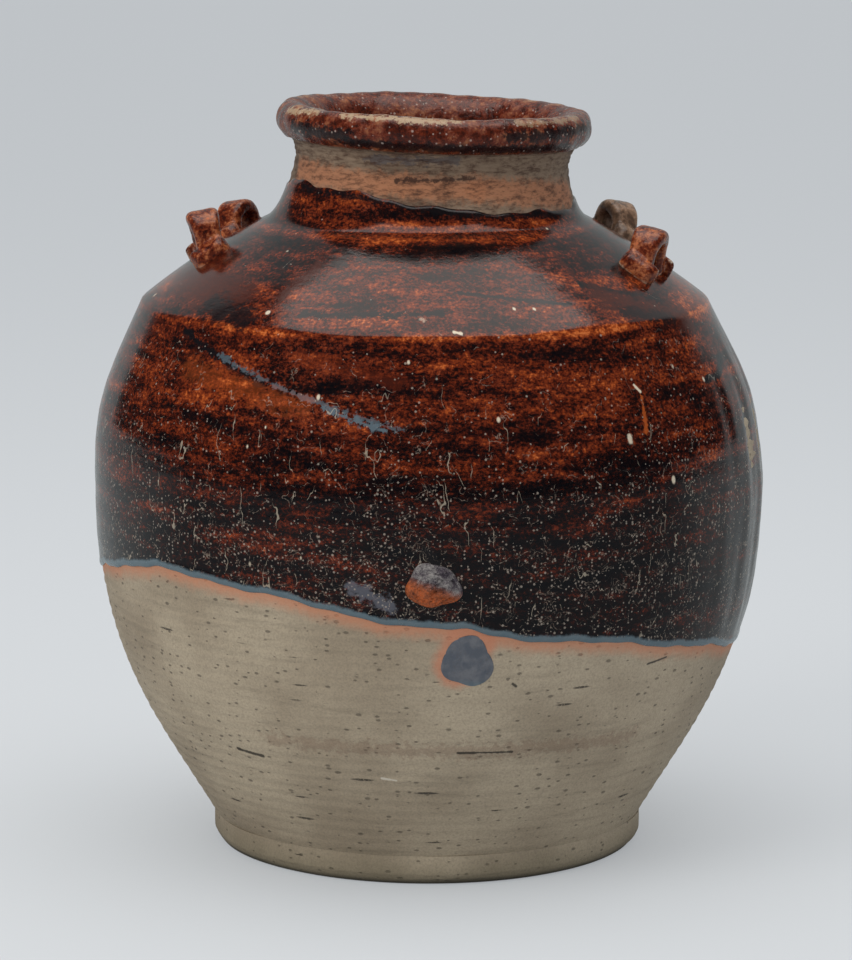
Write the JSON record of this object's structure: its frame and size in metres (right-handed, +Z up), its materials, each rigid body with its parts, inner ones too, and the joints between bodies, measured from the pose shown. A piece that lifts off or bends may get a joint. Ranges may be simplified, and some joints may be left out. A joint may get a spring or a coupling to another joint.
{
  "type": "martaban jar",
  "caption": "Stoneware storage jar with a low shoulder, waisted neck, rolled rim and strap lugs for a tied cover, brown glaze over bare clay.",
  "frame": {"origin": "middle of the foot, on the surface that the jar stands on", "axes": "+Z up along the jar's axis; -Y to the front, where the glaze's edge falls from left to right"},
  "size_m": [0.3324, 0.3373, 0.368],
  "materials": {
    "clay": "unglazed stoneware, fine pits and drag marks",
    "lug_glaze": "brown glaze, glossy",
    "body_glaze": "mottled iron brown glaze, glossy",
    "rim_glaze": "brown glaze, worn to cream along the crest",
    "splash_glaze": "thin slate glaze",
    "kiln_clay": "rough, part glazed"
  },
  "bodies": {
    "root": {"base_disc": "clay", "lower_wall": "clay", "belly_wall": "clay", "upper_wall": "clay", "shoulder": "clay", "neck": "clay", "rim_roll": "clay", "front_left_lug_strap": "lug_glaze", "front_left_lug_front_wad": "lug_glaze", "front_left_lug_rear_wad": "lug_glaze", "front_right_lug_strap": "lug_glaze", "front_right_lug_front_wad": "lug_glaze", "front_right_lug_rear_wad": "lug_glaze", "rear_left_lug_strap": "lug_glaze", "rear_left_lug_front_wad": "lug_glaze", "rear_left_lug_rear_wad": "lug_glaze", "rear_right_lug_strap": "lug_glaze", "rear_right_lug_front_wad": "lug_glaze", "rear_right_lug_rear_wad": "lug_glaze", "body_glaze": "body_glaze", "rim_glaze": "rim_glaze", "glaze_patch": "splash_glaze", "kiln_lump": "kiln_clay"}
  },
  "joints": []
}
